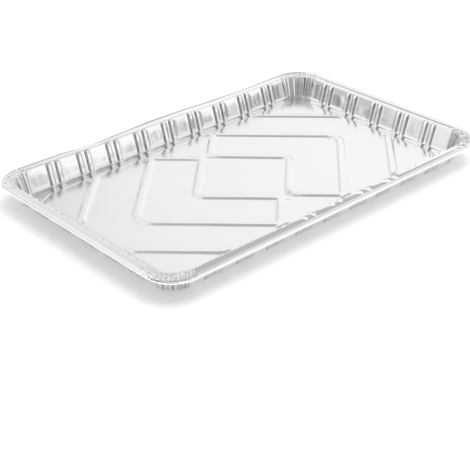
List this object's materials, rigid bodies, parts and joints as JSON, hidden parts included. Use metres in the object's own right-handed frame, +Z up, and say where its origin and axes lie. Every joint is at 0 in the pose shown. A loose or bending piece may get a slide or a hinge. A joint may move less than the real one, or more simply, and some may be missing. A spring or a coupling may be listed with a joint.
{
  "type": "foil roasting pan",
  "caption": "Shallow rectangular roasting pan pressed from aluminium foil, with a rolled rim, paired wall ribs, pleated corners and a raised base with diamond and chevron ridges.",
  "frame": {"origin": "middle of the footprint, on the surface that the pan stands on", "axes": "+X along the long side, +Y along the short side, +Z up out of the open top"},
  "size_m": [0.344, 0.224, 0.02],
  "materials": {
    "foil": "bright rolled foil, slightly wrinkled"
  },
  "bodies": {
    "root": {"pan": "foil"}
  },
  "joints": []
}
